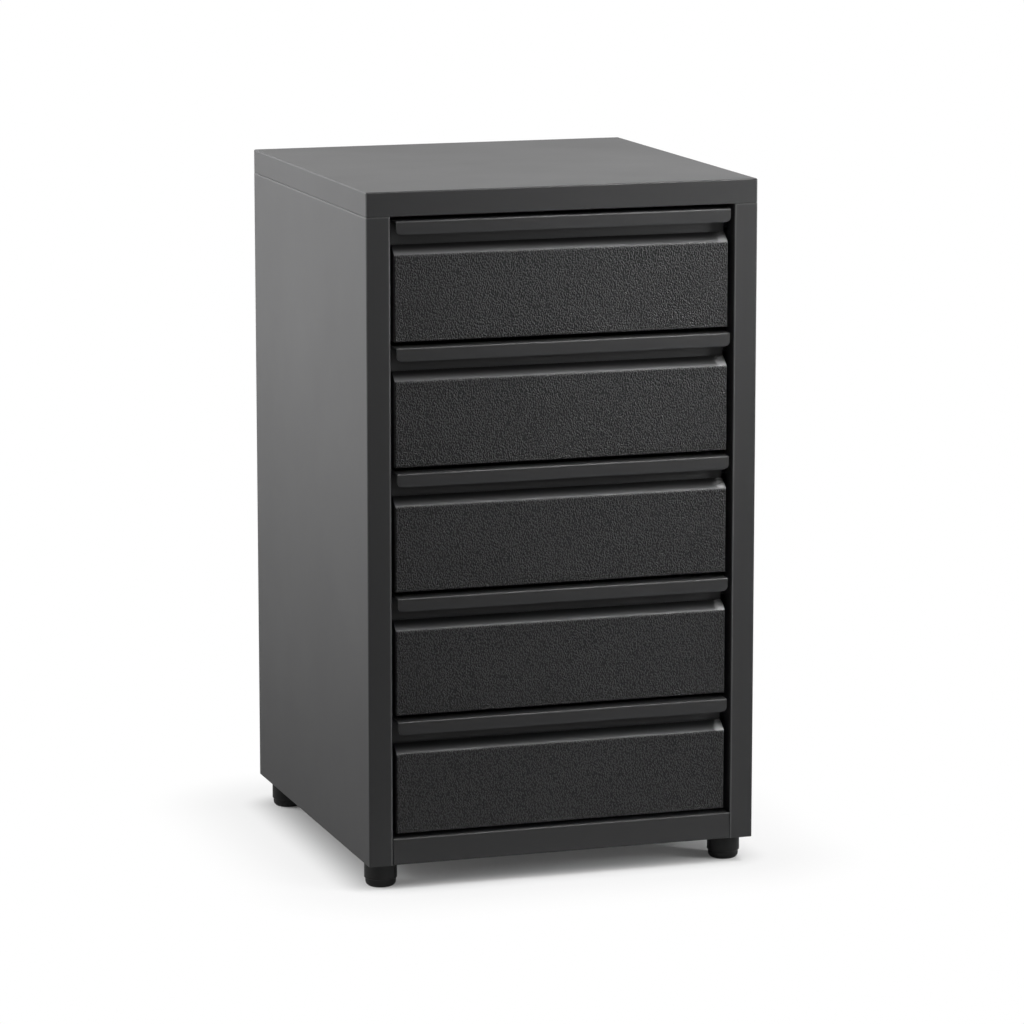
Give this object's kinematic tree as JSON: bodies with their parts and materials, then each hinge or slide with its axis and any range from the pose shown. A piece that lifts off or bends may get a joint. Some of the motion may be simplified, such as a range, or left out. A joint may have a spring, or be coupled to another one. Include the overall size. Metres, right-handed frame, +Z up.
{
  "type": "multi-drawer cabinet",
  "caption": "Compact steel cabinet with a flat lid, a stack of sliding drawers with grained fronts and folded lip pulls, and round rubber feet.",
  "frame": {"origin": "centre of the footprint on the surface that the feet stand on", "axes": "+Z up, the drawers open towards -Y, +X to the right seen from the front"},
  "size_m": [0.29, 0.302, 0.5],
  "materials": {
    "carcass_paint": "satin powder coat",
    "pull_paint": "satin powder coat",
    "tray_paint": "satin powder coat",
    "front_grain": "leather grain",
    "runner_paint": "satin powder coat, rubbed by the glides",
    "nylon": "smooth",
    "foot_rubber": "matt"
  },
  "bodies": {
    "carcass": {"lid": "carcass_paint", "left_side": "carcass_paint", "right_side": "carcass_paint", "back_panel": "carcass_paint", "base_pan": "carcass_paint", "feet": "foot_rubber", "runner_pads": "nylon", "left_runner_1": "runner_paint", "right_runner_1": "runner_paint", "left_runner_2": "runner_paint", "right_runner_2": "runner_paint", "left_runner_3": "runner_paint", "right_runner_3": "runner_paint", "left_runner_4": "runner_paint", "right_runner_4": "runner_paint", "left_runner_5": "runner_paint", "right_runner_5": "runner_paint"},
    "drawer_1": {"drawer_1_tray": "tray_paint", "drawer_1_front_wall": "tray_paint", "drawer_1_back_wall": "tray_paint", "drawer_1_pull": "pull_paint", "drawer_1_front": "front_grain", "drawer_1_left_glide": "nylon", "drawer_1_right_glide": "nylon"},
    "drawer_2": {"drawer_2_tray": "tray_paint", "drawer_2_front_wall": "tray_paint", "drawer_2_back_wall": "tray_paint", "drawer_2_pull": "pull_paint", "drawer_2_front": "front_grain", "drawer_2_left_glide": "nylon", "drawer_2_right_glide": "nylon"},
    "drawer_3": {"drawer_3_tray": "tray_paint", "drawer_3_front_wall": "tray_paint", "drawer_3_back_wall": "tray_paint", "drawer_3_pull": "pull_paint", "drawer_3_front": "front_grain", "drawer_3_left_glide": "nylon", "drawer_3_right_glide": "nylon"},
    "drawer_4": {"drawer_4_tray": "tray_paint", "drawer_4_front_wall": "tray_paint", "drawer_4_back_wall": "tray_paint", "drawer_4_pull": "pull_paint", "drawer_4_front": "front_grain", "drawer_4_left_glide": "nylon", "drawer_4_right_glide": "nylon"},
    "drawer_5": {"drawer_5_tray": "tray_paint", "drawer_5_front_wall": "tray_paint", "drawer_5_back_wall": "tray_paint", "drawer_5_pull": "pull_paint", "drawer_5_front": "front_grain", "drawer_5_left_glide": "nylon", "drawer_5_right_glide": "nylon"}
  },
  "joints": [
    {"name": "drawer_1_slide", "type": "slide", "parent": "carcass", "child": "drawer_1", "axis": [0, -1, 0], "range_m": [0, 0.2002]},
    {"name": "drawer_2_slide", "type": "slide", "parent": "carcass", "child": "drawer_2", "axis": [0, -1, 0], "range_m": [0, 0.2002]},
    {"name": "drawer_3_slide", "type": "slide", "parent": "carcass", "child": "drawer_3", "axis": [0, -1, 0], "range_m": [0, 0.2002]},
    {"name": "drawer_4_slide", "type": "slide", "parent": "carcass", "child": "drawer_4", "axis": [0, -1, 0], "range_m": [0, 0.2002]},
    {"name": "drawer_5_slide", "type": "slide", "parent": "carcass", "child": "drawer_5", "axis": [0, -1, 0], "range_m": [0, 0.2002]}
  ]
}
